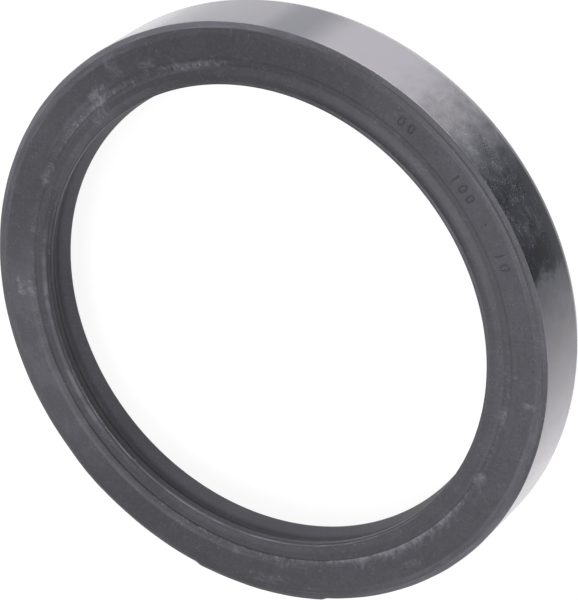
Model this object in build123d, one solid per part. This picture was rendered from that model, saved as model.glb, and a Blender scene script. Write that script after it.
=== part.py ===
from build123d import *
from math import cos, radians, sin, tan
import os

# Rotary shaft seal of the rubber-covered kind with a dust lip. Its axis is Z. It stands on its oil-side
# end at z = 0, and its air-side face is on top. One moulding of rubber carries the covering that is
# pressed into the housing, the air-side face, the dust lip and the sealing lip. An L-section ring of
# sheet steel is vulcanised into it, and a garter spring sits in the groove behind the sealing lip.

# ---- Driving dimensions, in millimetres and degrees ----

# Fit
SHAFT_DIAMETER = 80.0          # shaft that the lips run on
RADIAL_SPACE = 10.0            # from the shaft to the housing bore that the covering fills
SEAL_WIDTH = 13.0              # from the oil-side end to the air-side face

# Stiffening ring
SHEET = 1.0                    # sheet thickness
BEND_RADIUS = 0.8              # inside the bend between leg and flange
FLANGE_GAP = 3.0               # from the shaft to the flange's inner edge

# Rubber around the ring
COVER_THICKNESS = 1.4          # outside the leg
FACE_THICKNESS = 1.0           # over the flange, on the air side
NOSE_THICKNESS = 0.9           # below the leg's end
NOSE_WRAP = 0.5                # inside the leg's end
NOSE_WRAP_HEIGHT = 1.4         # up the leg's inside, to where the wrap starts to run out
NOSE_CHAMFER = 0.3
BACKING_THICKNESS = 0.5        # under the flange, on the oil side
BACKING_WIDTH = 1.2            # outwards from the flange's inner edge, to where it starts to run out
RUN_OUT = 0.8                  # length over which backing and wrap thin out onto the sheet

# Outside of the covering
LEAD_IN_HEIGHT = 1.5
LEAD_IN_ANGLE = 20.0           # from the axis
SHOULDER_ROUND = 0.35
SHOULDER_WIDTH = 0.8           # bevel around the air-side edge
SHOULDER_RISE = 0.34
PARTING_STEP = 0.1             # where the two halves of the mould met
RIM_WIDTH = 1.1                # shallow cone between the step and the flat face
RIM_DROP = 0.16

# Air-side face: places are counted outwards from the shaft
CHANNEL_INNER = 2.95           # inner edge of the channel's floor, where the dust lip's crown comes down
CHANNEL_WIDTH = 1.35           # from there to the channel's outer edge in the face
CHANNEL_DEPTH = 0.42           # at the floor's inner edge
CHANNEL_OUTER_DEPTH = 0.3      # at its outer edge
CHANNEL_SLOPE = 0.45           # slant of the outer wall
CHANNEL_ROUND = 0.12
CHANNEL_WALL_ROUND = 0.4       # at both ends of the outer wall

# Dust lip
DUST_INTERFERENCE = 0.28       # free lip inside the shaft's surface, on the radius
DUST_EDGE_DROP = 0.16          # from the face down to the lip's edge
DUST_EDGE_ROUND = 0.25
DUST_LAND = 0.9                # height of the lip's inner side
DUST_LAND_ROUND = 1.0          # where it turns back into the hollow
DUST_RIDGE = 0.46              # from the edge out to the ridge round it
DUST_RIDGE_DROP = 0.12
DUST_VALLEY = 0.7              # from the edge out to the bottom of the valley behind the ridge
DUST_VALLEY_DEPTH = 0.22
DUST_CROWN = 1.83              # from the edge out to the middle of the crown
CROWN_PEAK = 0.11              # above the face, where the crown's flanks would meet if it weren't round
CROWN_ROUND = 2.2
DUST_RELIEF = 0.73             # how far the hollow between the two lips stands back behind the edge
DUST_RELIEF_HEIGHT = 1.44      # from the lip's inner side down to that hollow
RELIEF_ROUND = 0.6

# Sealing lip
LIP_INTERFERENCE = 0.7         # free lip inside the shaft's surface, on the radius
LIP_DEPTH = 5.76               # from the air-side face to the sealing edge
LIP_LAND = 0.3                 # trimmed edge
LIP_OIL_ANGLE = 45.0           # of the cone on the oil side, from the axis
HEAD_HEIGHT = 2.15             # from the sealing edge to the lip's oil-side end
HEAD_CHAMFER = 0.8
HEAD_ROUND = 0.3
ROOT_RELIEF = 0.45             # foot of the sealing lip's cone outside the shaft's surface, on the radius
ROOT_DEPTH = 3.2               # from the air-side face to that foot
ROOT_ROUND = 0.5
HINGE_THICKNESS = 1.5          # rubber that the lip flexes on
HINGE_ROUND = 0.9

# Garter spring
SPRING_COIL = 2.1              # outer diameter of its close-wound coil
SPRING_SEAT = 1.9              # rubber between the sealing edge and the spring
SPRING_OFFSET = 0.6            # spring's middle towards the air side of the sealing edge
SPRING_CLEARANCE = 0.05        # all round the coil in its groove
GROOVE_MOUTH = 0.45            # from the coil's middle out to the mouth of the groove
GROOVE_LIP = 0.2               # rubber over the groove, on the air side
GROOVE_LIP_SLOPE = 0.25        # how far its top rises towards the hinge

# ---- Worked out from them ----
shaft_radius = SHAFT_DIAMETER / 2
outer_radius = shaft_radius + RADIAL_SPACE

flange_inner = shaft_radius + FLANGE_GAP
flange_top = SEAL_WIDTH - FACE_THICKNESS
flange_bottom = flange_top - SHEET
leg_outer = outer_radius - COVER_THICKNESS
leg_inner = leg_outer - SHEET
bend_radius_mid = BEND_RADIUS + SHEET / 2
bend_center = (leg_inner - BEND_RADIUS, flange_bottom - BEND_RADIUS)

sealing_radius = shaft_radius - LIP_INTERFERENCE
sealing_edge_z = SEAL_WIDTH - LIP_DEPTH
head_end = sealing_edge_z - HEAD_HEIGHT

groove_radius = SPRING_COIL / 2 + SPRING_CLEARANCE
spring_radius = sealing_radius + SPRING_SEAT + groove_radius
spring_z = sealing_edge_z + SPRING_OFFSET


def ring_of(corners):
    """A solid of revolution about Z. Each corner of its section is (radius, height, rounding)."""
    points = [(radius, height) for radius, height, _ in corners]
    roundings = [rounding for _, _, rounding in corners]
    outline = FilletPolyline(*points, radius=roundings, close=True)
    return revolve(make_face(Plane.XZ * outline), Axis.Z)


def torus(radius, height, section_radius):
    """A torus about Z whose round section is centred at this radius and height."""
    section = Plane.XZ * Pos(radius, height) * Circle(section_radius)
    return revolve(section, Axis.Z)


def stiffening_ring():
    """Pressed ring of sheet steel: a leg inside the covering and a flange behind the air-side face."""
    return ring_of([
        (flange_inner, flange_bottom, 0),
        (flange_inner, flange_top, 0),
        (leg_outer, flange_top, BEND_RADIUS + SHEET),
        (leg_outer, NOSE_THICKNESS, 0),
        (leg_inner, NOSE_THICKNESS, 0),
        (leg_inner, flange_bottom, BEND_RADIUS),
    ])


def covering_corners():
    """Oil-side end and outside of the covering, up to the flat of the air-side face."""
    lead_in_depth = LEAD_IN_HEIGHT * tan(radians(LEAD_IN_ANGLE))
    step_radius = outer_radius - SHOULDER_WIDTH
    step_top = SEAL_WIDTH - RIM_DROP
    step_bottom = step_top - PARTING_STEP
    return [
        (leg_inner - NOSE_WRAP + NOSE_CHAMFER, 0, 0),
        (outer_radius - lead_in_depth, 0, 0),
        (outer_radius, LEAD_IN_HEIGHT, 0),
        (outer_radius, step_bottom - SHOULDER_RISE, SHOULDER_ROUND),
        (step_radius, step_bottom, 0),
        (step_radius, step_top, 0),
        (step_radius - RIM_WIDTH, SEAL_WIDTH, 0),
    ]


def face_corners():
    """Channel in the air-side face, then the band that carries the dust lip, inwards to its edge."""
    channel_inner = shaft_radius + CHANNEL_INNER
    channel_outer = channel_inner + CHANNEL_WIDTH
    edge_radius = shaft_radius - DUST_INTERFERENCE
    return [
        (channel_outer, SEAL_WIDTH, CHANNEL_WALL_ROUND),
        (channel_outer - CHANNEL_SLOPE, SEAL_WIDTH - CHANNEL_OUTER_DEPTH, CHANNEL_WALL_ROUND),
        (channel_inner, SEAL_WIDTH - CHANNEL_DEPTH, CHANNEL_ROUND),
        (edge_radius + DUST_CROWN, SEAL_WIDTH + CROWN_PEAK, CROWN_ROUND),
        (edge_radius + DUST_VALLEY, SEAL_WIDTH - DUST_VALLEY_DEPTH, 0),
        (edge_radius + DUST_RIDGE, SEAL_WIDTH - DUST_RIDGE_DROP, 0),
        (edge_radius, SEAL_WIDTH - DUST_EDGE_DROP, DUST_EDGE_ROUND),
    ]


def bore_corners():
    """Inner side of the dust lip, the hollow behind it, and the two cones that meet at the sealing edge."""
    edge_radius = shaft_radius - DUST_INTERFERENCE
    land_end = SEAL_WIDTH - DUST_EDGE_DROP - DUST_LAND
    sealing_land_end = sealing_edge_z - LIP_LAND / 2
    cone_height = sealing_land_end - head_end
    return [
        (edge_radius, land_end, DUST_LAND_ROUND),
        (edge_radius + DUST_RELIEF, land_end - DUST_RELIEF_HEIGHT, RELIEF_ROUND),
        (shaft_radius + ROOT_RELIEF, SEAL_WIDTH - ROOT_DEPTH, ROOT_ROUND),
        (sealing_radius, sealing_land_end + LIP_LAND, 0),
        (sealing_radius, sealing_land_end, 0),
        (sealing_radius + cone_height * tan(radians(LIP_OIL_ANGLE)), head_end, HEAD_ROUND),
    ]


def lip_back_corners():
    """Back of the lip around the spring groove, then the hinge and the backing under the flange."""
    mouth_radius = spring_radius + GROOVE_MOUTH
    hinge_radius = shaft_radius + ROOT_RELIEF + HINGE_THICKNESS
    groove_top = spring_z + groove_radius
    hinge_bottom = groove_top + GROOVE_LIP + GROOVE_LIP_SLOPE
    hinge_top = flange_bottom - BACKING_THICKNESS
    backing_end = flange_inner + BACKING_WIDTH
    return [
        (mouth_radius - HEAD_CHAMFER, head_end, HEAD_ROUND),
        (mouth_radius, head_end + HEAD_CHAMFER, HEAD_ROUND),
        (mouth_radius, groove_top + GROOVE_LIP, 0),
        (hinge_radius, hinge_bottom, 0),
        (hinge_radius, hinge_top, min(HINGE_ROUND, (hinge_top - hinge_bottom) / 2)),
        (backing_end, hinge_top, 0),
        (backing_end + RUN_OUT, flange_bottom, 0),
    ]


def inside_sheet_corners():
    """Way back to the oil-side end through the middle of the sheet, which is cut out afterwards."""
    bend = [
        (bend_center[0] + bend_radius_mid * cos(radians(angle)),
         bend_center[1] + bend_radius_mid * sin(radians(angle)), 0)
        for angle in (90, 45, 0)
    ]
    wrap_end = NOSE_THICKNESS + NOSE_WRAP_HEIGHT
    wrap_radius = leg_inner - NOSE_WRAP
    return [
        (flange_inner + BACKING_WIDTH + RUN_OUT, flange_bottom + SHEET / 2, 0),
        *bend,
        (leg_inner + SHEET / 2, wrap_end + RUN_OUT, 0),
        (leg_inner, wrap_end + RUN_OUT, 0),
        (wrap_radius, wrap_end, 0),
        (wrap_radius, NOSE_CHAMFER, 0),
    ]


def elastomer_body(steel_ring):
    """The whole rubber moulding around the steel ring, with its groove for the garter spring."""
    corners = covering_corners()
    corners += face_corners()
    corners += bore_corners()
    corners += lip_back_corners()
    corners += inside_sheet_corners()
    spring_groove = torus(spring_radius, spring_z, groove_radius)
    return ring_of(corners) - steel_ring - spring_groove


def garter_spring():
    """Outer form of the close-wound coil that is joined into a ring."""
    return torus(spring_radius, spring_z, SPRING_COIL / 2)


steel_ring = stiffening_ring()
parts = {
    "elastomer_body": elastomer_body(steel_ring),
    "stiffening_ring": steel_ring,
    "garter_spring": garter_spring(),
}

os.makedirs("parts", exist_ok=True)
for name, part in parts.items():
    export_step(part, f"parts/{name}.step")
    print(name, round(part.volume, 1), "mm3")
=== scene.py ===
"""Looks of a rotary shaft seal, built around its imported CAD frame.

The frame's own axes are kept: Z is the seal's axis, the air side is up, and the oil-side end lies on the
floor at z = 0. Sizes are named in millimetres and turned into metres where a mesh is made. Azimuths are
in degrees about Z, from +X.
"""

import math

import bpy
from mathutils import Matrix, Vector


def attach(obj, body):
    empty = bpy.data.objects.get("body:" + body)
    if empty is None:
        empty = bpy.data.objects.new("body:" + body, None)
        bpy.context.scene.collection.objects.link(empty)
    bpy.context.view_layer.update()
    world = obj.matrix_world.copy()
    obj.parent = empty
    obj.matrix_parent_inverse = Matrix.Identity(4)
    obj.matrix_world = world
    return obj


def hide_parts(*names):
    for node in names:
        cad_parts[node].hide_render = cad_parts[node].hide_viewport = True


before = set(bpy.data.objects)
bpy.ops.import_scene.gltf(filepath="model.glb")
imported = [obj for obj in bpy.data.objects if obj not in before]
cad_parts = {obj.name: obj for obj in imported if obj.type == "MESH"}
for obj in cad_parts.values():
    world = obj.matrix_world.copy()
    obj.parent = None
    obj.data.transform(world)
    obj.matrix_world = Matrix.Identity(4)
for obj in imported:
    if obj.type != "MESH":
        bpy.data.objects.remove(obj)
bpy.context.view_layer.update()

MM = 0.001

# ---- Sizes of the rubber's section, as in the CAD model: radii, and heights over the oil-side end ----

WIDTH = 13.0
OUTER_RADIUS = 50.0
SHAFT_RADIUS = 40.0

# Space of the steel ring in the rubber
SHEET_INNER, SHEET_OUTER = 47.6, 48.6      # its leg
SHEET_END = 0.9
FLANGE_INNER = 43.0
FLANGE_BOTTOM, FLANGE_TOP = 11.0, 12.0
BEND_OUTER = 1.8                           # outside of the bend between leg and flange

# Rubber behind the flange and inside the leg's end
BACKING_END = 44.2
BACKING_BOTTOM = 10.5
WRAP_RADIUS = 47.1
WRAP_TOP = 2.3
RUN_OUT = 0.8                              # length over which both thin out onto the sheet
NOSE_CHAMFER = 0.3

# Outside of the covering
LEAD_IN_HEIGHT = 1.5
LEAD_IN_ANGLE = 20                         # degrees from the axis
LEAD_IN_RADIUS = OUTER_RADIUS - LEAD_IN_HEIGHT * math.tan(math.radians(LEAD_IN_ANGLE))
STEP_RADIUS = 49.2                         # small step where the two halves of the mould met
STEP_TOP = WIDTH - 0.16
STEP_BOTTOM = STEP_TOP - 0.1
SHOULDER_BOTTOM = STEP_BOTTOM - 0.34       # the bevel under the step starts here

# Air-side face
FACE_OUTER = 48.1                          # the shallow rim falls away from here
CHANNEL_OUTER, CHANNEL_INNER = 44.3, 42.95
CHANNEL_SLOPE = 0.45                       # slant of its outer wall
CHANNEL_OUTER_FLOOR = WIDTH - 0.3
CHANNEL_FLOOR = WIDTH - 0.42

# Dust lip: places of its forms are counted outwards from its edge
DUST_RADIUS = 39.72
DUST_TOP = WIDTH - 0.16
CROWN, CROWN_PEAK = 1.83, WIDTH + 0.11
VALLEY, VALLEY_BOTTOM = 0.7, WIDTH - 0.22
RIDGE, RIDGE_TOP = 0.46, WIDTH - 0.12
DUST_LAND_END = DUST_TOP - 0.9             # lower end of its inner side
HOLLOW, HOLLOW_HEIGHT = 0.73, DUST_LAND_END - 1.44

# Sealing lip
ROOT_RADIUS = SHAFT_RADIUS + 0.45
ROOT_HEIGHT = WIDTH - 3.2
SEALING_RADIUS = 39.3
SEALING_Z = 7.24
SEALING_LAND = 0.3
HEAD_END = 5.09
HEAD_CHAMFER = 0.8
MOUTH_RADIUS = 42.75                       # mouth of the spring groove
HINGE_RADIUS = 41.95

# Garter spring and its groove
SPRING_RADIUS, SPRING_Z = 42.3, 7.84
GROOVE_RADIUS = 1.1
GROOVE_TOP = SPRING_Z + GROOVE_RADIUS
GROOVE_LIP, GROOVE_LIP_TOP = 0.2, 0.45     # over the groove: at its mouth and at the hinge
COIL_DIAMETER = 2.1
WIRE = 0.38
COIL_PITCH = 0.4

# Roundings of the section's corners
EDGE_ROUND = 0.05                          # what is left round at a moulded edge
STEP_ROUND = 0.04
NOSE_ROUND = 0.1
LEAD_IN_ROUND = 0.2
SHOULDER_ROUND = 0.35
FACE_ROUND = 0.3
CHANNEL_WALL_ROUND = 0.4
CHANNEL_ROUND = 0.12
CROWN_ROUND = 2.2
RIDGE_ROUND = 0.08
DUST_EDGE_ROUND = 0.25
DUST_LAND_ROUND = 1.0
HOLLOW_ROUND = 0.6
ROOT_ROUND = 0.5
HEAD_ROUND = 0.3
HINGE_ROUND = 0.5
WRAP_ROUND = 0.1

# ---- Forms that the CAD model leaves out ----

# Flash on the rim: from and to this azimuth, fading over so many degrees, and how far it stands out
FLASH = (
    (243.5, 270, 1.2, 0.3),
    (212, 243, 3, 0.08),
    (214, 218, 1.5, 0.06),
)
RIPPLES = ((17, 0, 0.012), (41, 1, 0.01))  # waviness of the rim: waves around, phase, height
FLASH_INNER = STEP_RADIUS - 0.2            # only points outside and above these move
FLASH_BOTTOM = WIDTH - 1.2

# Raised marks on the face
MARK_RADIUS = 46.25
MARK_HALF_HEIGHT, MARK_HALF_WIDTH = 0.8, 0.42
MARK_STROKE = 0.16                         # half the width of a ridge's foot
MARK_FLAT = 0.4                            # share of a ridge that is flat on top
MARK_FOOT, MARK_TOP = WIDTH - 0.03, WIDTH + 0.12
DOT_RADIUS = 0.13
MOUND_FLAT = 0.55                          # the same share of a bar or dot
BAR_SQUARENESS = 0.35                      # power that makes a bar's plan squarer than an ellipse
RINGS_AT = (45.2, 42.8, 28.0, 25.6, 11.0)
BARS_AT = (30.4, 13.4)
DOTS_AT = (36.5, 20.0)

# ---- Fineness of the meshes ----

AROUND = 600                               # facets around the axis
ROUNDING_STEP = math.radians(14)           # turn of one facet in a rounding
SHARP_ANGLE = math.radians(30)             # edges sharper than this stay sharp
GROOVE_STEPS = 18
BEND_STEPS = 6
RING_STEPS = 28
MOUND_STEPS = 16
STEPS_A_TURN = 18
WIRE_SIDES = 6


# ---------------------------------------------------------------- meshes

def rounded_corner(before, corner, after, rounding):
    """Points of an arc of this radius that replaces the corner between its neighbours."""
    here = Vector(corner)
    to_before = Vector(before) - here
    to_after = Vector(after) - here
    angle = to_before.angle(to_after)
    reach = rounding / math.tan(angle / 2)
    longest = 0.45                         # share of a side that one corner's arc may use up
    reach = min(reach, longest * to_before.length, longest * to_after.length)
    turn = math.pi - angle
    radius = reach * math.tan(angle / 2)
    bisector = (to_before.normalized() + to_after.normalized()).normalized()
    center = here + bisector * (radius / math.sin(angle / 2))
    steps = max(2, math.ceil(turn / ROUNDING_STEP))
    first = here + to_before.normalized() * reach - center
    side = 1 if to_before.x * to_after.y - to_before.y * to_after.x < 0 else -1
    points = []
    for step in range(steps + 1):
        swing = side * turn * step / steps
        cosine, sine = math.cos(swing), math.sin(swing)
        points.append((center.x + first.x * cosine - first.y * sine,
                       center.y + first.x * sine + first.y * cosine))
    return points


def outline_of(corners):
    """Closed outline from (radius, height, rounding) corners. A rounding of None keeps the corner sharp."""
    points = []
    for index, (radius, height, rounding) in enumerate(corners):
        before = corners[index - 1][:2]
        after = corners[(index + 1) % len(corners)][:2]
        if rounding is None:
            points.append((radius, height))
        else:
            points += rounded_corner(before, (radius, height), after, rounding)
    return points


def arc_corners(center, radius, start, end, steps):
    """Sharp corners along an arc between two angles in radians."""
    corners = []
    for step in range(steps + 1):
        angle = start + (end - start) * step / steps
        corners.append((center[0] + radius * math.cos(angle), center[1] + radius * math.sin(angle), None))
    return corners


def tube_faces(rings, points, first=0):
    """Quads between each ring of points and the next. Both the rings and their row are closed."""
    faces = []
    for ring in range(rings):
        here, there = first + ring * points, first + (ring + 1) % rings * points
        for point in range(points):
            following = (point + 1) % points
            faces.append((here + point, here + following, there + following, there + point))
    return faces


def mesh_object(name, vertices, faces, sharp_angle=SHARP_ANGLE):
    """A smooth-shaded mesh in metres, from vertices in millimetres, with its hard edges kept."""
    mesh = bpy.data.meshes.new(name)
    mesh.from_pydata([(x * MM, y * MM, z * MM) for x, y, z in vertices], [], faces)
    mesh.update()
    mesh.shade_smooth()
    mesh.set_sharp_from_angle(angle=sharp_angle)
    piece = bpy.data.objects.new(name, mesh)
    bpy.context.scene.collection.objects.link(piece)
    return piece


def turned(name, outline, stray):
    """A closed outline turned about Z. stray(radius, height, azimuth) moves a point a little outwards."""
    vertices = []
    for index in range(AROUND):
        azimuth = 2 * math.pi * index / AROUND
        for radius, height in outline:
            radius += stray(radius, height, azimuth)
            vertices.append((radius * math.cos(azimuth), radius * math.sin(azimuth), height))
    return mesh_object(name, vertices, tube_faces(AROUND, len(outline)))


def rubber_outline():
    """The rubber section: covering, air-side face, both lips, back of the lip, and round the steel sheet."""
    mouth_angle = math.acos((MOUTH_RADIUS - SPRING_RADIUS) / GROOVE_RADIUS)
    groove = arc_corners((SPRING_RADIUS, SPRING_Z), GROOVE_RADIUS,
                         -mouth_angle, mouth_angle - 2 * math.pi, GROOVE_STEPS)
    bend = arc_corners((SHEET_OUTER - BEND_OUTER, FLANGE_TOP - BEND_OUTER), BEND_OUTER,
                       math.pi / 2, 0, BEND_STEPS)
    land_bottom = SEALING_Z - SEALING_LAND / 2
    return outline_of([
        # Oil-side end and outside of the covering
        (WRAP_RADIUS + NOSE_CHAMFER, 0, EDGE_ROUND),
        (LEAD_IN_RADIUS, 0, NOSE_ROUND),
        (OUTER_RADIUS, LEAD_IN_HEIGHT, LEAD_IN_ROUND),
        (OUTER_RADIUS, SHOULDER_BOTTOM, SHOULDER_ROUND),
        (STEP_RADIUS, STEP_BOTTOM, STEP_ROUND),
        (STEP_RADIUS, STEP_TOP, STEP_ROUND),
        # Air-side face
        (FACE_OUTER, WIDTH, FACE_ROUND),
        (CHANNEL_OUTER, WIDTH, CHANNEL_WALL_ROUND),
        (CHANNEL_OUTER - CHANNEL_SLOPE, CHANNEL_OUTER_FLOOR, CHANNEL_WALL_ROUND),
        (CHANNEL_INNER, CHANNEL_FLOOR, CHANNEL_ROUND),
        # Dust lip, and the hollow behind it
        (DUST_RADIUS + CROWN, CROWN_PEAK, CROWN_ROUND),
        (DUST_RADIUS + VALLEY, VALLEY_BOTTOM, EDGE_ROUND),
        (DUST_RADIUS + RIDGE, RIDGE_TOP, RIDGE_ROUND),
        (DUST_RADIUS, DUST_TOP, DUST_EDGE_ROUND),
        (DUST_RADIUS, DUST_LAND_END, DUST_LAND_ROUND),
        (DUST_RADIUS + HOLLOW, HOLLOW_HEIGHT, HOLLOW_ROUND),
        # Sealing lip
        (ROOT_RADIUS, ROOT_HEIGHT, ROOT_ROUND),
        (SEALING_RADIUS, land_bottom + SEALING_LAND, EDGE_ROUND),
        (SEALING_RADIUS, land_bottom, EDGE_ROUND),
        (SEALING_RADIUS + land_bottom - HEAD_END, HEAD_END, HEAD_ROUND),
        (MOUTH_RADIUS - HEAD_CHAMFER, HEAD_END, HEAD_ROUND),
        (MOUTH_RADIUS, HEAD_END + HEAD_CHAMFER, HEAD_ROUND),
        *groove,
        (MOUTH_RADIUS, GROOVE_TOP + GROOVE_LIP, EDGE_ROUND),
        # Hinge, and the backing under the flange
        (HINGE_RADIUS, GROOVE_TOP + GROOVE_LIP_TOP, EDGE_ROUND),
        (HINGE_RADIUS, BACKING_BOTTOM, HINGE_ROUND),
        (BACKING_END, BACKING_BOTTOM, WRAP_ROUND),
        (BACKING_END + RUN_OUT, FLANGE_BOTTOM, None),
        # Round the sheet, back to the oil-side end
        (FLANGE_INNER, FLANGE_BOTTOM, None),
        (FLANGE_INNER, FLANGE_TOP, None),
        *bend,
        (SHEET_OUTER, SHEET_END, None),
        (SHEET_INNER, SHEET_END, None),
        (SHEET_INNER, WRAP_TOP + RUN_OUT, None),
        (WRAP_RADIUS, WRAP_TOP, WRAP_ROUND),
        (WRAP_RADIUS, NOSE_CHAMFER, EDGE_ROUND),
    ])


def smooth_bump(value, start, end, ease):
    """1 between start and end, falling to 0 over ease on both sides."""
    rise = min(1, max(0, (value - start) / ease + 1))
    fall = min(1, max(0, (end - value) / ease + 1))
    share = min(rise, fall)
    return share * share * (3 - 2 * share)


def flash(radius, height, azimuth):
    """Ragged rubber left at the mould's parting line, and a slight waviness of the same edge."""
    if radius < FLASH_INNER or height < FLASH_BOTTOM:
        return 0
    degrees = math.degrees(azimuth)
    stretches = sum(smooth_bump(degrees, start, end, ease) * out for start, end, ease, out in FLASH)
    return stretches + sum(out * math.sin(waves * azimuth + phase) for waves, phase, out in RIPPLES)


def raised_marks(name):
    """Low mould marks on the face, in three groups with a dot between them: plain rings and bars."""
    vertices, faces = [], []

    def place(azimuth, sideways, outwards, height):
        """sideways and outwards are millimetres on the face, from the mark's middle."""
        angle = math.radians(azimuth) - sideways / MARK_RADIUS
        radius = MARK_RADIUS + outwards
        vertices.append((radius * math.cos(angle), radius * math.sin(angle), height))

    def ring(azimuth, width, height):
        """A closed ridge with sloping sides along an ellipse."""
        first = len(vertices)
        flat = MARK_STROKE * MARK_FLAT
        section = ((-MARK_STROKE, MARK_FOOT), (-flat, MARK_TOP), (flat, MARK_TOP), (MARK_STROKE, MARK_FOOT))
        for step in range(RING_STEPS):
            angle = 2 * math.pi * step / RING_STEPS
            normal = Vector((height * math.cos(angle), width * math.sin(angle))).normalized()
            for reach, level in section:
                place(azimuth, width * math.cos(angle) + normal.x * reach,
                      height * math.sin(angle) + normal.y * reach, level)
        faces.extend(tube_faces(RING_STEPS, len(section), first))

    def mound(azimuth, width, height, power):
        """A flat-topped bar or dot with sloping sides."""
        first = len(vertices)
        for share, level in ((1, MARK_FOOT), (MOUND_FLAT, MARK_TOP)):
            spare = width * (1 - share)
            for step in range(MOUND_STEPS):
                angle = 2 * math.pi * step / MOUND_STEPS
                along_x = math.copysign(abs(math.cos(angle)) ** power, math.cos(angle))
                along_y = math.copysign(abs(math.sin(angle)) ** power, math.sin(angle))
                place(azimuth, along_x * (width - spare), along_y * (height - spare), level)
        top = first + MOUND_STEPS
        for step in range(MOUND_STEPS):
            following = (step + 1) % MOUND_STEPS
            faces.append((first + step, first + following, top + following, top + step))
        faces.append(tuple(range(top, top + MOUND_STEPS)))
        faces.append(tuple(reversed(range(first, top))))

    for azimuth in RINGS_AT:
        ring(azimuth, MARK_HALF_WIDTH, MARK_HALF_HEIGHT)
    for azimuth in BARS_AT:
        mound(azimuth, MARK_STROKE, MARK_HALF_HEIGHT, BAR_SQUARENESS)
    for azimuth in DOTS_AT:
        mound(azimuth, DOT_RADIUS, DOT_RADIUS, 1)
    return mesh_object(name, vertices, faces)


def coil_spring(name):
    """The garter spring's wire, close-wound around a circle, as one closed tube."""
    turns = round(2 * math.pi * SPRING_RADIUS / COIL_PITCH)
    coil_radius = (COIL_DIAMETER - WIRE) / 2
    steps = turns * STEPS_A_TURN
    vertices = []
    for step in range(steps):
        azimuth = 2 * math.pi * step / steps
        winding = 2 * math.pi * step / STEPS_A_TURN
        outwards = Vector((math.cos(azimuth), math.sin(azimuth), 0))
        along = Vector((-math.sin(azimuth), math.cos(azimuth), 0))
        spoke = outwards * math.cos(winding) + Vector((0, 0, math.sin(winding)))
        center = outwards * SPRING_RADIUS + Vector((0, 0, SPRING_Z)) + spoke * coil_radius
        for side in range(WIRE_SIDES):
            angle = 2 * math.pi * side / WIRE_SIDES
            vertices.append(center + (spoke * math.cos(angle) + along * math.sin(angle)) * WIRE / 2)
    return mesh_object(name, vertices, tube_faces(steps, WIRE_SIDES), sharp_angle=math.pi)


# ---------------------------------------------------------------- node trees

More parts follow.
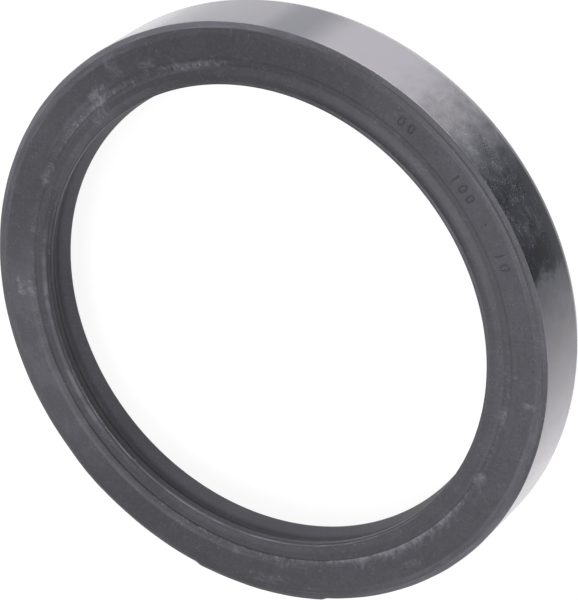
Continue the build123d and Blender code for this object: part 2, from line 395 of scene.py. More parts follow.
class Shader:
    """A material's node tree, with short ways to add the nodes that it needs."""

    def __init__(self, name):
        self.material = bpy.data.materials.new(name)
        self.material.use_nodes = True
        self.tree = self.material.node_tree
        self.surface = self.tree.nodes["Principled BSDF"]

    def node(self, kind, **settings):
        made = self.tree.nodes.new(kind)
        for name, value in settings.items():
            setattr(made, name, value)
        return made

    def feed(self, socket, value):
        """Links another node's socket to this one, or sets a plain value on it."""
        if isinstance(value, bpy.types.NodeSocket):
            self.tree.links.new(value, socket)
        else:
            socket.default_value = value

    def calculate(self, operation, *values):
        made = self.node("ShaderNodeMath", operation=operation)
        for socket, value in zip(made.inputs, values):
            self.feed(socket, value)
        return made.outputs[0]

    def times(self, *values):
        product = values[0]
        for value in values[1:]:
            product = self.calculate("MULTIPLY", product, value)
        return product

    def either(self, *values):
        greatest = values[0]
        for value in values[1:]:
            greatest = self.calculate("MAXIMUM", greatest, value)
        return greatest

    def remainder(self, value):
        """What is left of 1."""
        return self.calculate("SUBTRACT", 1, value)

    def scaled(self, vector, scale):
        made = self.node("ShaderNodeVectorMath", operation="SCALE")
        self.feed(made.inputs[0], vector)
        self.feed(made.inputs["Scale"], scale)
        return made.outputs[0]

    def vector(self, x, y, z):
        made = self.node("ShaderNodeCombineXYZ")
        for socket, value in zip(made.inputs, (x, y, z)):
            self.feed(socket, value)
        return made.outputs[0]

    def noise(self, vector, scale=1.0, detail=2.0, roughness=0.5, distortion=0.0):
        made = self.node("ShaderNodeTexNoise")
        for name, value in (("Vector", vector), ("Scale", scale), ("Detail", detail),
                            ("Roughness", roughness), ("Distortion", distortion)):
            self.feed(made.inputs[name], value)
        return made.outputs["Fac"]

    def between(self, value, low, high):
        """0 at low and 1 at high, smooth between and held outside. low may be the larger."""
        made = self.node("ShaderNodeMapRange", interpolation_type="SMOOTHSTEP")
        flipped = low > high
        limits = (high, low, 1.0, 0.0) if flipped else (low, high, 0.0, 1.0)
        self.feed(made.inputs["Value"], value)
        for name, limit in zip(("From Min", "From Max", "To Min", "To Max"), limits):
            self.feed(made.inputs[name], limit)
        return made.outputs["Result"]

    def slope(self, value, low, high):
        """0 at low and 1 at high, straight between and held outside. low may be the larger."""
        made = self.node("ShaderNodeMapRange")
        for name, number in (("Value", value), ("From Min", low), ("From Max", high)):
            self.feed(made.inputs[name], number)
        return made.outputs["Result"]

    def band(self, value, start, end, ease):
        """1 from start to end, and 0 beyond ease outside them."""
        return self.times(self.between(value, start - ease, start), self.between(value, end + ease, end))

    def specks(self, vector, size):
        """1 at the middle of scattered dots of this size in cells of size 1, else 0."""
        made = self.node("ShaderNodeTexVoronoi")
        self.feed(made.inputs["Vector"], vector)
        return self.between(made.outputs["Distance"], size, size * 0.4)

    def blend(self, kind, places, result, values):
        """A Mix node. It has sockets for every kind of value, so they are found by their place."""
        made = self.node("ShaderNodeMix", data_type=kind)
        for place, value in zip(places, values):
            self.feed(made.inputs[place], value)
        return made.outputs[result]

    def mix(self, share, plain, other):
        """Colour that goes from plain to other."""
        return self.blend("RGBA", (0, 6, 7), 2, (share, plain, other))

    def level(self, share, plain, other):
        """Number that goes from plain to other."""
        return self.blend("FLOAT", (0, 2, 3), 0, (share, plain, other))

    def cover(self, under, colour, *masks, strength=1):
        """One colour with another laid over it by this strength, where all the masks are 1."""
        return self.mix(self.times(*masks, strength), under, colour)

    def bump(self, height, distance, strength=1.0, under=None):
        made = self.node("ShaderNodeBump")
        self.feed(made.inputs["Height"], height)
        self.feed(made.inputs["Distance"], distance)
        self.feed(made.inputs["Strength"], strength)
        if under:
            self.feed(made.inputs["Normal"], under)
        return made.outputs["Normal"]

    def set(self, **values):
        for name, value in values.items():
            self.feed(self.surface.inputs[name.replace("_", " ")], value)


class SealShader(Shader):
    """A shader that knows where on the seal a point is, in millimetres, from the object's coordinates.

    Reach is how far from its azimuth something falls to nothing, in degrees, and ease is over how many
    millimetres or degrees it fades outside its limits.
    """

    def __init__(self, name):
        super().__init__(name)
        coordinates = self.node("ShaderNodeTexCoord").outputs["Object"]
        self.point = self.scaled(coordinates, 1 / MM)
        split = self.node("ShaderNodeSeparateXYZ")
        self.feed(split.inputs[0], self.point)
        x, y, self.height = split.outputs
        self.radius = self.calculate("SQRT", self.calculate("ADD", self.times(x, x), self.times(y, y)))
        self.toward_x = self.calculate("DIVIDE", x, self.radius)
        self.toward_y = self.calculate("DIVIDE", y, self.radius)
        self.azimuth = self.times(self.calculate("ARCTAN2", y, x), 180 / math.pi)

    def streaks(self, length, width, detail, roughness, across=None):
        """Noise drawn out around the axis: features of about this length and width, in millimetres."""
        across = self.radius if across is None else across
        lengthways = SHAFT_RADIUS / length
        vector = self.vector(self.times(self.toward_x, lengthways), self.times(self.toward_y, lengthways),
                             self.times(across, 1 / width))
        return self.noise(vector, 1.0, detail, roughness)

    def facing(self, degrees, reach):
        """1 at this azimuth, falling to 0 where it is reach degrees away."""
        angle = math.radians(degrees)
        cosine = self.calculate("ADD", self.times(self.toward_x, math.cos(angle)),
                                self.times(self.toward_y, math.sin(angle)))
        return self.between(cosine, math.cos(math.radians(reach)), 1.0)

    def zone(self, inner, outer, ease):
        return self.band(self.radius, inner, outer, ease)

    def stretches(self, rows, elsewhere=0):
        """The greatest of these stretches, and of the strength that holds elsewhere."""
        levels = [self.times(self.facing(azimuth, reach), strength) for azimuth, reach, strength in rows]
        return self.either(*levels, elsewhere)

    def patches(self, rows):
        """The greatest of these patches."""
        return self.either(*(self.times(self.facing(azimuth, reach), self.zone(inner, outer, ease), strength)
                             for azimuth, reach, inner, outer, ease, strength in rows))

    def scattered(self, layers):
        """Specks in several layers."""
        return self.either(*(self.specks(self.scaled(self.point, cells), size) for cells, size in layers))


def seen_directly(tree):
    """1 for what the camera sees, also in a reflection or through something clear, else 0."""
    path = tree.nodes.new("ShaderNodeLightPath")
    total = path.outputs["Is Camera Ray"]
    for ray in ("Is Glossy Ray", "Is Transmission Ray"):
        greatest = tree.nodes.new("ShaderNodeMath")
        greatest.operation = "MAXIMUM"
        tree.links.new(total, greatest.inputs[0])
        tree.links.new(path.outputs[ray], greatest.inputs[1])
        total = greatest.outputs[0]
    return total


# ---------------------------------------------------------------- moulded rubber

RUBBER = (0.056, 0.054, 0.064, 1)
RUBBER_CLOUD = (0.066, 0.064, 0.076, 1)
RUBBER_DARK = (0.022, 0.021, 0.027, 1)
# near-black for painted shade
RUBBER_SHADE = (0.006, 0.006, 0.009, 1)
# pale bloom; the same colour also lays painted sheen and painted light
BLOOM_AND_SHEEN = (0.17, 0.168, 0.195, 1)
CHALK = (0.25, 0.25, 0.285, 1)
SPECK = (0.42, 0.42, 0.46, 1)

RUBBER_ROUGHNESS, BLOOM_ROUGHNESS = 0.42, 0.6
RUBBER_SPECULAR = 0.3
GRAIN_DEPTH, SCUFF_DEPTH = 0.03, 0.02
MARK_SHADE, STRETCH_SHADE = 0.62, 0.52     # how much darker the marks and the dark stretches are
TONGUE_THICKNESS, SMUDGE_THICKNESS = 0.29, 0.22         # added to the ragged noise

# Limits of height and radius, as where a mask is 0 and where it is 1
ON_TOP = (12.2, 12.5)
IN_BORE = (41.5, 41.2)
ON_LIP_EDGE = (12.6, 12.8)
ON_RIM_EDGE = (12.0, 12.2)
# painted shade under the dust lip and in the bore
UNDER_LIP_FROM, UNDER_LIP_TO = (11.8, 11.3), (8.8, 10.0)
# painted light on the lower bore
LIT_BORE_FROM = (10.2, 8.8)
SHADED_HEIGHTS = (10.8, 12.7, 1.5)         # from, to, ease

# Zones as (inner radius, outer radius, ease)
# painted shade lies in the corner, on the flank and on the crown
CORNER_ZONE = (42.75, 43.0, 0.18)          # under the dust lip's crown
FLANK_ZONE = (40.55, 40.95, 0.3)           # from the dust lip's valley up to its crown
CROWN_ZONE = (41.3, 42.7, 0.4)
CROWN_FOOT_ZONE = (42.35, 42.75, 0.25)
# painted highlight along the dust lip's edge
LIP_EDGE_ZONE = (39.95, 40.15, 0.08)
RIM_ZONE = (48.0, 49.9, 0.2)
RIM_HAZE_ZONE = (48.2, 49.1, 0.4)
# a darker stretch of the rim
RIM_DARKER_ZONE = (48.1, 49.2, 0.4)
# painted highlight along the rim's bevel
RIM_EDGE_ZONE = (49.1, 49.9, 0.1)
# painted shade: a dark line along the rim's step
STEP_SHADE_ZONE = (49.02, 49.12, 0.08)
TONGUE_ROOT = (42.85, 43.0)                # the bloom's tongues start at the channel's inner corner,
TONGUE_REACH = (45.1, CHANNEL_INNER)       # and thin out towards here

# Sides that something lies on, as (azimuth, reach)
PALE_SIDE = (0, 60)
# sides of painted shade on the dust lip's flank and crown, and in the bore
DARK_FLANK = (38, 40)
DARK_CROWN = (30, 45)
SHADED_BORE = (188, 52)
# painted shade along the rim's step on this side
STEP_SHADE_SIDE = (24, 30)

# Stretches as (azimuth, reach, strength), and the strength that holds elsewhere
# darker stretches of the face: painted shade where the lamps' sheen is weaker
SHADED_STRETCHES = ((88, 42, 1), (-120, 48, 0.42))
# painted shade in the corner under the dust lip's crown
CORNER_SHADE, CORNER_SHADE_ELSEWHERE = ((-138, 70, 0.9),), 0.25
# painted light on the lower bore, by stretches
LIT_BORE, LIT_BORE_ELSEWHERE = ((-88, 62, 1), (140, 40, 0.6)), 0.15
TONGUES, TONGUES_ELSEWHERE = (
    (-66, 32, 1), (178, 34, 0.5), (123, 20, 0.85), (-108, 40, 0.62), (-24, 36, 0.35), (97, 18, 0.45)), 0.1
CROWN_FOOT_BLOOM, CROWN_FOOT_ELSEWHERE = ((112, 30, 1), (-38, 30, 0.7)), 0.1
# painted highlights on the dust lip's edge and the rim's bevel, strongest at these azimuths
LIP_EDGE_HIGHLIGHT, LIP_EDGE_HIGHLIGHT_ELSEWHERE = ((-118, 75, 1),), 0.2
RIM_EDGE_HIGHLIGHT = ((115, 62, 1), (-58, 30, 0.8))
RIM_HAZE = ((152, 76, 0.4), (-45, 42, 0.34))
# a darker stretch of the rim
RIM_DARKER = ((-122, 34, 0.25),)

# Patches of bloom as (azimuth, reach, inner radius, outer radius, ease, strength): smudges with ragged
# outlines, and soft hazes, of which the ones on the face and the dust lip's crown are painted sheen
SPREAD = 1.1                               # ease of a smudge
SMUDGES = (
    (119, 4, 43.0, 45.0, SPREAD, 1),
    (172.5, 4, 43.8, 46.0, SPREAD, 1),
    (-38.5, 2.5, 43.0, 43.9, SPREAD, 1),
    (-22, 4, 43.0, 43.8, SPREAD, 0.8),
    (-66, 3, 46.0, 46.5, SPREAD, 0.6),
    (-17.5, 0.9, 46.6, 48.2, SPREAD, 0.9),
    (44, 2, 43.2, 43.9, SPREAD, 0.7),
    (112, 2.5, 45.6, 48.0, SPREAD, 0.6),
    (104, 3, 44.2, 45.2, SPREAD, 0.7),
    (144, 4, 43.0, 43.8, SPREAD, 0.7),
    (159, 3, 43.0, 43.6, SPREAD, 0.6),
    (-101, 6, 46.8, 48.0, SPREAD, 0.5),
    (122, 5, 40.9, 42.4, SPREAD, 0.6),
    (-150, 9, 40.4, 41.2, SPREAD, 0.5),
    (93, 13, 43.0, 43.3, SPREAD, 0.8),
    (-12, 0.7, 43.0, 44.6, SPREAD, 0.7),
)
# the first four hazes, on the face and the dust lip's crown, are painted sheen and highlights
HAZES_AND_SHEEN = (
    (188, 34, 43.2, 47.6, 0.8, 0.4),
    (188, 40, 40.85, 41.0, 0.6, 0.95),
    (122, 30, 40.4, 41.1, 0.3, 0.3),
    (-85, 70, 40.4, 41.3, 0.3, 0.12),
    (-130, 60, 43.2, 44.2, 0.35, 0.16),
    (126, 14, 43.1, 44.6, 0.6, 0.3),
)
RUBBER_SPECKS = ((0.5, 0.13), (0.9, 0.16))              # layers of (cells to a millimetre, size in a cell)


def rubber_tone(shader, cloud, grain, is_mark):
    """The moulding's own tone, cloudy and with a fine grain, with darker stretches of painted shade and one
    paler side.
    """
    cover, between = shader.cover, shader.between
    tone = cover(RUBBER, RUBBER_CLOUD, between(cloud, 0.35, 0.7))
    if is_mark:
        tone = cover(tone, RUBBER_DARK, strength=MARK_SHADE)
    else:
        # painted shade on stretches of the face
        tone = cover(tone, RUBBER_DARK, shader.stretches(SHADED_STRETCHES), strength=STRETCH_SHADE)
    tone = cover(tone, BLOOM_AND_SHEEN, shader.facing(*PALE_SIDE), strength=0.12)
    tone = cover(tone, RUBBER_DARK, between(grain, 0.5, 0.36), strength=0.26)
    return cover(tone, BLOOM_AND_SHEEN, between(grain, 0.53, 0.66), strength=0.08)


def dark_hollows(shader, colour, on_top):
    """Painted shade: darkens the corner under the dust lip's crown, crown and flank on one side, and the
    bore.

    The lip's lower part gets painted light, paler on some stretches.
    """
    cover, times, between, facing = shader.cover, shader.times, shader.between, shader.facing
    height, in_bore = shader.height, between(shader.radius, *IN_BORE)
    # painted shade in the corner under the crown, stronger on one side
    colour = cover(colour, RUBBER_SHADE, shader.zone(*CORNER_ZONE),
                   shader.stretches(CORNER_SHADE, CORNER_SHADE_ELSEWHERE))
    # painted shade on the flank and the crown, on the side that faces away from the light
    colour = cover(colour, RUBBER_SHADE, shader.zone(*FLANK_ZONE), facing(*DARK_FLANK), strength=0.6)
    colour = cover(colour, RUBBER_DARK, shader.zone(*CROWN_ZONE), facing(*DARK_CROWN), on_top, strength=0.3)
    # painted shade under the dust lip's overhang and in the bore
    under_lip = times(between(height, *UNDER_LIP_FROM), between(height, *UNDER_LIP_TO), in_bore, 0.75)
    shaded = times(shader.band(height, *SHADED_HEIGHTS), in_bore, facing(*SHADED_BORE), 0.8)
    colour = cover(colour, RUBBER_SHADE, shader.either(under_lip, shaded))
    # painted light on the lower bore
    return cover(colour, BLOOM_AND_SHEEN, between(height, *LIT_BORE_FROM), in_bore,
                 shader.stretches(LIT_BORE, LIT_BORE_ELSEWHERE), strength=0.34)


def bloom_and_sheen_masks(shader, cloud, on_top):
    """Where pale bloom and painted sheen lie, and where the bloom is thick enough to look like chalk.

    It makes ragged tongues out of the channel, smudges, and hazes on some stretches; the hazes on the face
    and the dust lip's crown are painted sheen and highlights.
    """
    times, either, between = shader.times, shader.either, shader.between
    ragged = shader.level(0.5, shader.streaks(0.8, 1.4, detail=5, roughness=0.75),
                          shader.noise(shader.point, 0.8, detail=5, roughness=0.8, distortion=0.8))
    wisps = between(shader.noise(shader.point, 0.42, detail=5, roughness=0.7, distortion=1.5), 0.5, 0.62)
    tongues = times(shader.slope(shader.radius, *TONGUE_REACH), between(shader.radius, *TONGUE_ROOT),
                    shader.stretches(TONGUES, TONGUES_ELSEWHERE))
    added = either(times(tongues, TONGUE_THICKNESS), times(shader.patches(SMUDGES), SMUDGE_THICKNESS))
    thickness = shader.calculate("ADD", ragged, added)
    streaky = times(between(thickness, 0.54, 0.8), on_top)
    thin_chalk = times(wisps, between(ragged, 0.53, 0.62), 0.3)
    chalk = times(either(between(thickness, 0.68, 0.84), thin_chalk), on_top)
    crown_foot = times(shader.zone(*CROWN_FOOT_ZONE),
                       shader.stretches(CROWN_FOOT_BLOOM, CROWN_FOOT_ELSEWHERE),
                       either(0.35, between(ragged, 0.45, 0.6)))
    # hazes of bloom, and painted sheen on the face and the dust lip's crown
    haze_and_sheen = times(shader.patches(HAZES_AND_SHEEN), either(0.6, between(cloud, 0.36, 0.56)))
    faint = times(between(shader.streaks(1.2, 5, detail=4, roughness=0.7), 0.55, 0.78), 0.1, on_top)
    bloom_and_sheen = either(times(crown_foot, 0.45), haze_and_sheen, faint, times(streaky, 0.75))
    return bloom_and_sheen, chalk


def highlight_and_wear_mask(shader, scuff_lines, on_top):
    """Painted highlights along the dust lip's edge and the rim's bevel, broken up by rubbed noise, with a
    haze on the rim and scuffs that run round the rim.
    """
    times, either, between = shader.times, shader.either, shader.between
    rubbed = between(shader.streaks(6, 1, detail=4, roughness=0.7), 0.36, 0.6)
    # painted highlight along the dust lip's edge
    lip_edge = times(shader.zone(*LIP_EDGE_ZONE), between(shader.height, *ON_LIP_EDGE), either(rubbed, 0.4),
                     shader.stretches(LIP_EDGE_HIGHLIGHT, LIP_EDGE_HIGHLIGHT_ELSEWHERE))
    scuffed = between(shader.streaks(14, 6, detail=3, roughness=0.6), 0.4, 0.6)
    # painted highlight along the rim's bevel
    rim_edge = times(shader.zone(*RIM_EDGE_ZONE), between(shader.height, *ON_RIM_EDGE), either(rubbed, 0.7),
                     shader.stretches(RIM_EDGE_HIGHLIGHT))
    rim_haze = times(shader.zone(*RIM_HAZE_ZONE), on_top, either(rubbed, 0.5), shader.stretches(RIM_HAZE))
    return either(lip_edge, times(scuff_lines, scuffed, 0.5), rim_edge, rim_haze)


def rubber_material(name, is_mark=False):
    """Moulded nitrile rubber: a satin face with bloom, scuffs, painted sheen and highlights, and painted
    shade and light in its hollows. The marks are darker.
    """
    shader = SealShader(name)
    cover, times, between = shader.cover, shader.times, shader.between
    cloud = shader.noise(shader.point, 0.16, detail=4, roughness=0.6)
    grain = shader.noise(shader.point, 2.2, detail=5, roughness=0.65)
    lines = between(shader.streaks(30, 0.16, detail=3, roughness=0.6), 0.52, 0.66)
    on_top = between(shader.height, *ON_TOP)
    rim = times(shader.zone(*RIM_ZONE), on_top)
    # painted shade along the rim's step
    step_shade = times(shader.zone(*STEP_SHADE_ZONE), shader.facing(*STEP_SHADE_SIDE), on_top)
    # a darker stretch of the rim
    rim_darker = times(shader.zone(*RIM_DARKER_ZONE), on_top, shader.stretches(RIM_DARKER))
    bloom_and_sheen, chalk = bloom_and_sheen_masks(shader, cloud, on_top)
    specks = times(shader.scattered(RUBBER_SPECKS),
                   between(shader.noise(shader.point, 0.5, detail=2), 0.5, 0.62))

    # painted shade and painted light in the hollows and the bore
    colour = dark_hollows(shader, rubber_tone(shader, cloud, grain, is_mark), on_top)
    # bloom, and painted sheen and highlights on the face and the dust lip's crown
    colour = cover(colour, BLOOM_AND_SHEEN, bloom_and_sheen, strength=0.75)
    colour = cover(colour, CHALK, chalk, strength=0.5)
    # painted highlights on the dust lip's edge and the rim's bevel, with scuffs and haze
    colour = cover(colour, BLOOM_AND_SHEEN, highlight_and_wear_mask(shader, times(lines, rim), on_top))
    colour = cover(colour, RUBBER_DARK, rim_darker)
    # painted shade along the rim's step
    colour = cover(colour, RUBBER_SHADE, step_shade, strength=0.7)
    colour = cover(colour, SPECK, specks, strength=0.8)
    relief = shader.bump(grain, GRAIN_DEPTH * MM, 0.5)
    relief = shader.bump(lines, SCUFF_DEPTH * MM, times(rim, 0.6), relief)
    rough = shader.level(shader.either(bloom_and_sheen, chalk), RUBBER_ROUGHNESS, BLOOM_ROUGHNESS)
    shader.set(Base_Color=colour, Roughness=rough, Specular_IOR_Level=RUBBER_SPECULAR, Normal=relief)
    return shader.material


# ---------------------------------------------------------------- outer cylinder

WALL_DARK = (0.005, 0.0055, 0.011, 1)
# grey film, partly painted reflection
WALL_FILM_AND_REFLECTION = (0.635, 0.613, 0.651, 1)
WALL_FILM_AND_REFLECTION_BLUE = (0.54, 0.565, 0.71, 1)
WALL_SPECK = (0.9, 0.9, 0.95, 1)

WALL_ROUGHNESS = 0.27
WALL_SPECULAR = 0.12
FILM_METALLIC = 0.7
WALL_GRAIN_DEPTH = 0.02

# Limits of azimuth and height, as where a mask is 0 and where it is 1
FILM_AND_REFLECTION_BEFORE = (16, -36)                    # the film and its painted reflection fade out up to its end, are gone, and come back after
FILM_AND_REFLECTION_BEFORE_ENDS = (9.5, 4.5)
FILM_AND_REFLECTION_AFTER = (19, 54)
FILM_AND_REFLECTION_FULL = (83, 105)
SMEARS_FROM = (11, 16)
BLUE_FROM, BLUE_TO = (-4, 12), (44, 18)
FOOT_HEIGHTS = (6, 1.5)
SCRATCHED_HEIGHTS = (8, 11.5)
SPECKED_HEIGHTS = (2, 7)

WANDER_BEFORE, WANDER_AFTER = 10, 20       # degrees that patchy noise shifts the limits of the film and its painted reflection
THIN_FILM_AND_REFLECTION = ((71, 74, 8, 0.36), (80, 90, 12, 0.17))     # start, end, ease, share that is missing
WORN_SIDE = (-150, 98)                     # azimuth around which the film is mostly gone, and its reach
WORN_SHARE, WORN_SHARE_PATCHES = 0.74, 0.68
FILM_AND_REFLECTION_AFTER_SHARE = 0.8
SMEAR_SHARES = {"cloud": 0.05, "streaks": 0.16, "flecks": 0.11}
FOOT_SHARE = 0.08
SCRATCH_SHARE = 0.25
WALL_SPECKS = ((0.7, 0.18), (1.1, 0.2))    # layers of (cells to a millimetre, size in a cell)
WALL_SPECKED, WALL_SPECKED_ELSEWHERE = ((28, 26, 1),), 0.15


def wall_film_and_reflection(shader):
    """Share of the grey film on the outer cylinder, which is partly painted reflection, and how bluish it
    is.
    """
    times, either, between = shader.times, shader.either, shader.between
    height, azimuth = shader.height, shader.azimuth
    patchy = shader.noise(shader.point, 0.34, detail=5, roughness=0.7, distortion=0.6)
    patchy = shader.calculate("SUBTRACT", patchy, 0.5)
    azimuth_before = shader.calculate("ADD", azimuth, times(patchy, WANDER_BEFORE))
    azimuth_after = shader.calculate("ADD", azimuth, times(patchy, WANDER_AFTER))

    # The film, with its painted reflection, fades to bare rubber at one place on each side, and is thin at
    # another.
    before = times(shader.slope(azimuth_before, *FILM_AND_REFLECTION_BEFORE), between(azimuth_before, *FILM_AND_REFLECTION_BEFORE_ENDS))
    after = times(between(azimuth_after, *FILM_AND_REFLECTION_AFTER), FILM_AND_REFLECTION_AFTER_SHARE)
    thin = either(*(times(shader.band(azimuth, start, end, ease), missing)
                    for start, end, ease, missing in THIN_FILM_AND_REFLECTION))
    film_and_reflection = times(either(before, after), shader.remainder(thin))
    film_and_reflection = either(film_and_reflection, between(azimuth, *FILM_AND_REFLECTION_FULL))
    worn = times(shader.facing(*WORN_SIDE),
                 shader.level(between(patchy, -0.2, 0.2), WORN_SHARE, WORN_SHARE_PATCHES))
    film_and_reflection = times(film_and_reflection, shader.remainder(worn))

    # The bare rubber keeps smears of the film, is a little paler towards its foot, and has scratches near
    # the shoulder.
    flecks = between(shader.noise(shader.point, 0.9, detail=5, roughness=0.8, distortion=1.8), 0.48, 0.62)
    streaks = between(shader.streaks(3.0, 1.0, detail=5, roughness=0.75, across=height), 0.44, 0.64)
    cloud = between(shader.noise(shader.point, 0.22, detail=3, roughness=0.6, distortion=0.8), 0.42, 0.58)
    smears = either(times(cloud, SMEAR_SHARES["cloud"]), times(streaks, cloud, SMEAR_SHARES["streaks"]),
                    times(flecks, SMEAR_SHARES["flecks"]))
    smears = times(smears, between(azimuth, *SMEARS_FROM))
    foot = times(between(height, *FOOT_HEIGHTS), FOOT_SHARE)
    scratches = times(between(shader.streaks(5, 0.12, detail=3, roughness=0.6, across=height), 0.6, 0.72),
                      between(height, *SCRATCHED_HEIGHTS), SCRATCH_SHARE)
    film_and_reflection = either(film_and_reflection, smears, foot, scratches)
    bluish = times(either(thin, between(azimuth, *BLUE_TO), 0.1), between(azimuth, *BLUE_FROM))
    return film_and_reflection, bluish


def wall_material():
    """The ground-smooth outside of the covering: glossy, with a grey film that is partly painted reflection.
    It is missing where the painted reflection is dark, thin in places, and worn off on the far side.
    """
    shader = SealShader("outer_rubber")
    film_and_reflection, bluish = wall_film_and_reflection(shader)
    specks = shader.times(shader.scattered(WALL_SPECKS),
                          shader.between(shader.noise(shader.point, 0.4, detail=3), 0.46, 0.54),
                          shader.stretches(WALL_SPECKED, WALL_SPECKED_ELSEWHERE),
                          shader.between(shader.height, *SPECKED_HEIGHTS))
    # silvery film colour, partly painted reflection
    silver = shader.mix(bluish, WALL_FILM_AND_REFLECTION, WALL_FILM_AND_REFLECTION_BLUE)
    colour = shader.mix(specks, shader.mix(film_and_reflection, WALL_DARK, silver), WALL_SPECK)
    grain = shader.noise(shader.point, 3.0, detail=4, roughness=0.6)
    shader.set(Base_Color=colour, Metallic=shader.times(film_and_reflection, FILM_METALLIC), Roughness=WALL_ROUGHNESS,
               Specular_IOR_Level=WALL_SPECULAR, Normal=shader.bump(grain, WALL_GRAIN_DEPTH * MM, 0.4))
    return shader.material


def paint_rubber(piece, face_material, outer_material):
    """The outside of the covering gets its own material, from the lead-in up to the shoulder."""
    piece.data.materials.append(face_material)
    piece.data.materials.append(outer_material)
    margin = 0.02
    for polygon in piece.data.polygons:
        radius = math.hypot(polygon.center.x, polygon.center.y) / MM
        height = polygon.center.z / MM
        if radius > LEAD_IN_RADIUS + margin and height < SHOULDER_BOTTOM + margin:
            polygon.material_index = 1


# ---------------------------------------------------------------- steel

WIRE_BRIGHT, WIRE_DULL, WIRE_ROUGHNESS = (0.62, 0.61, 0.60, 1), (0.48, 0.47, 0.46, 1), 0.25
SHEET_BRIGHT, SHEET_DULL, SHEET_ROUGHNESS = (0.30, 0.30, 0.31, 1), (0.20, 0.20, 0.21, 1), 0.45
ROUGHNESS_SPREAD = 0.18                    # more of it along the finish's fine lines
STEEL_LINE_DEPTH = 0.01


def steel_material(name, bright, dull, roughness):
    """Steel with a slightly uneven finish."""
    shader = SealShader(name)
    mottle = shader.noise(shader.point, 0.8, detail=5, roughness=0.6)
    fine = shader.streaks(12, 0.1, detail=3, roughness=0.6, across=shader.height)
    shader.set(Base_Color=shader.mix(shader.between(mottle, 0.35, 0.65), bright, dull),
               Metallic=1.0,
               Roughness=shader.level(fine, roughness, roughness + ROUGHNESS_SPREAD),
               Normal=shader.bump(fine, STEEL_LINE_DEPTH * MM, 0.5))
    return shader.material


# ---------------------------------------------------------------- studio

CAMERA_AZIMUTH = 32.374
CAMERA_ELEVATION = 52.66
CAMERA_ROLL = -128.57
CAMERA_DISTANCE = 503.0
AIM = (1.552, 1.594)                       # how far the origin falls right of and above the picture's middle
FOCAL_PIXELS = 3080
PICTURE_HEIGHT = 600
SENSOR = 36.0
CLIP_START, CLIP_END = 0.01, 20            # metres

SOFTBOX_DISTANCE = 0.8                     # metres
SOFTBOXES = (                              # name, azimuth, elevation, size in metres, watts
    ("left", 75, 35, 0.35, 3),
    ("right", -25, 35, 0.35, 2),
    ("top", 32, 85, 0.5, 2.6),
)

WHITE = (1, 1, 1, 1)
WORLD_LIGHT = 0.2                          # on the object
BACKGROUND = 1.0                           # where the world is seen
FLOOR_COLOUR = (0.2, 0.2, 0.2, 1)
FLOOR_LIFT = 0.88                          # brings the floor to white where it is seen
FLOOR_HALF = 3.0                           # metres
FLOOR_GAP = 0.02                           # keeps the floor off the seal's own end


def toward(azimuth, elevation):
    """Direction from the origin, for angles in radians."""
    level = math.cos(elevation)
    return Vector((level * math.cos(azimuth), level * math.sin(azimuth), math.sin(elevation)))


def add_camera():
    azimuth, roll = math.radians(CAMERA_AZIMUTH), math.radians(CAMERA_ROLL)
    backward = toward(azimuth, math.radians(CAMERA_ELEVATION))
    level_right = Vector((-math.sin(azimuth), math.cos(azimuth), 0))
    level_up = backward.cross(level_right)
    right = level_right * math.cos(roll) + level_up * math.sin(roll)
    up = backward.cross(right)
    place = (backward * CAMERA_DISTANCE - right * AIM[0] - up * AIM[1]) * MM
    data = bpy.data.cameras.new("camera")
    data.lens = FOCAL_PIXELS * SENSOR / PICTURE_HEIGHT
    data.sensor_width = SENSOR
    data.clip_start = CLIP_START
    data.clip_end = CLIP_END
    camera = bpy.data.objects.new("camera", data)
    rotation = Matrix((right, up, backward)).transposed()
    camera.matrix_world = Matrix.Translation(place) @ rotation.to_4x4()
    bpy.context.scene.collection.objects.link(camera)
    bpy.context.scene.camera = camera


def add_softbox(name, azimuth, elevation, size, energy):
    """A square area light that looks at the seal."""
    direction = toward(math.radians(azimuth), math.radians(elevation))
    data = bpy.data.lights.new(name, "AREA")
    data.size = size
    data.energy = energy
    lamp = bpy.data.objects.new(name, data)
    lamp.location = direction * SOFTBOX_DISTANCE
    lamp.rotation_euler = direction.to_track_quat("Z", "Y").to_euler()
    bpy.context.scene.collection.objects.link(lamp)


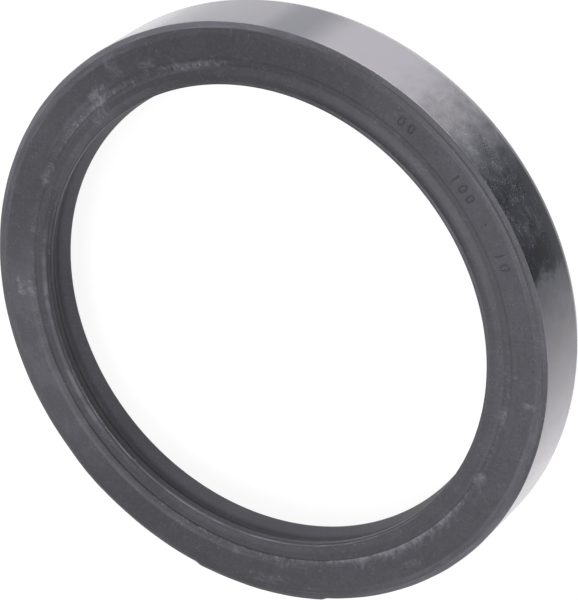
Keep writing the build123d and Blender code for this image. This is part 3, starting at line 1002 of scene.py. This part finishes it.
def add_world():
    world = bpy.data.worlds.new("world")
    bpy.context.scene.world = world
    world.use_nodes = True
    tree = world.node_tree
    background = tree.nodes["Background"]
    background.inputs["Color"].default_value = WHITE
    strength = tree.nodes.new("ShaderNodeMapRange")
    tree.links.new(seen_directly(tree), strength.inputs["Value"])
    strength.inputs["To Min"].default_value = WORLD_LIGHT
    strength.inputs["To Max"].default_value = BACKGROUND
    tree.links.new(strength.outputs["Result"], background.inputs["Strength"])


def add_floor():
    """A wide pale floor. It is lifted to white where it is seen, and keeps the seal's shadow."""
    corners = [(x * FLOOR_HALF, y * FLOOR_HALF, 0) for x, y in ((-1, -1), (1, -1), (1, 1), (-1, 1))]
    mesh = bpy.data.meshes.new("floor")
    mesh.from_pydata(corners, [], [(0, 1, 2, 3)])
    floor = bpy.data.objects.new("floor", mesh)
    floor.location.z = -FLOOR_GAP * MM
    bpy.context.scene.collection.objects.link(floor)
    material = bpy.data.materials.new("floor")
    material.use_nodes = True
    tree = material.node_tree
    surface = tree.nodes["Principled BSDF"]
    surface.inputs["Base Color"].default_value = FLOOR_COLOUR
    surface.inputs["Roughness"].default_value = 1.0
    surface.inputs["Specular IOR Level"].default_value = 0.0
    surface.inputs["Emission Color"].default_value = WHITE
    lift = tree.nodes.new("ShaderNodeMath")
    lift.operation = "MULTIPLY"
    tree.links.new(seen_directly(tree), lift.inputs[0])
    lift.inputs[1].default_value = FLOOR_LIFT
    tree.links.new(lift.outputs[0], surface.inputs["Emission Strength"])
    floor.data.materials.append(material)


# ---------------------------------------------------------------- the seal

rubber = turned("rubber_moulding", rubber_outline(), flash)
paint_rubber(rubber, rubber_material("moulded_rubber"), wall_material())
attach(rubber, "root")
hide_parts("elastomer_body")

marks = raised_marks("moulded_marks")
marks.data.materials.append(rubber_material("mark_rubber", is_mark=True))
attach(marks, "root")

spring = coil_spring("garter_spring_wire")
spring.data.materials.append(steel_material("spring_wire", WIRE_BRIGHT, WIRE_DULL, WIRE_ROUGHNESS))
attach(spring, "root")
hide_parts("garter_spring")

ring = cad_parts["stiffening_ring"]
sheet_finish = steel_material("phosphated_sheet", SHEET_BRIGHT, SHEET_DULL, SHEET_ROUGHNESS)
for slot in ring.material_slots:
    slot.material = sheet_finish

add_camera()
add_world()
add_floor()
for softbox in SOFTBOXES:
    add_softbox(*softbox)

scene = bpy.context.scene
scene.view_settings.view_transform = "Standard"
